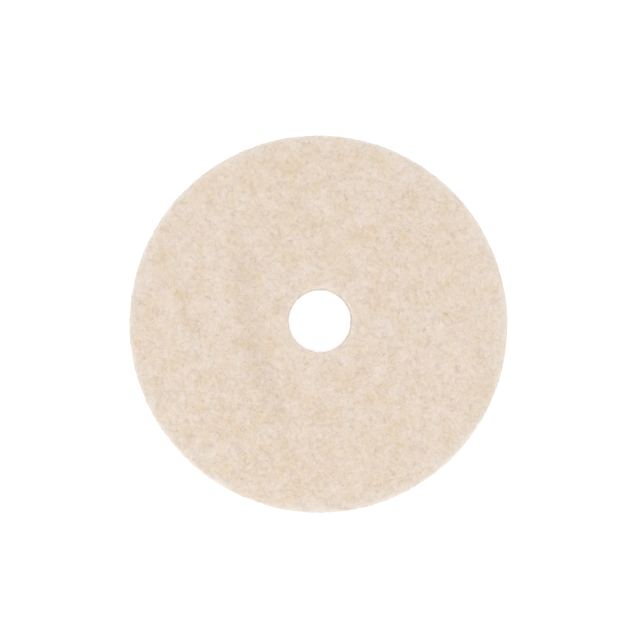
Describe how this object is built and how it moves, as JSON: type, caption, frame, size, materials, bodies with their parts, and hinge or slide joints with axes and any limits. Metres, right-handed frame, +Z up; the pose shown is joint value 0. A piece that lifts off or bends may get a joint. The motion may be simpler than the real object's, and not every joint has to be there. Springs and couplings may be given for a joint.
{
  "type": "floor polishing pad",
  "caption": "Round slab of lofty nonwoven web with a punched centre hole, for polishing hard floors under a rotary floor machine.",
  "frame": {"origin": "centre of the face that lies on the floor", "axes": "+Z up through the centre hole, along the machine's spindle; X and Y are any two radial directions"},
  "size_m": [0.508, 0.508, 0.0254],
  "materials": {
    "nonwoven_web": "matte lofty fibre web, white and cream synthetic fibres blended with tan natural fibres"
  },
  "bodies": {
    "root": {"pad": "nonwoven_web"}
  },
  "joints": []
}
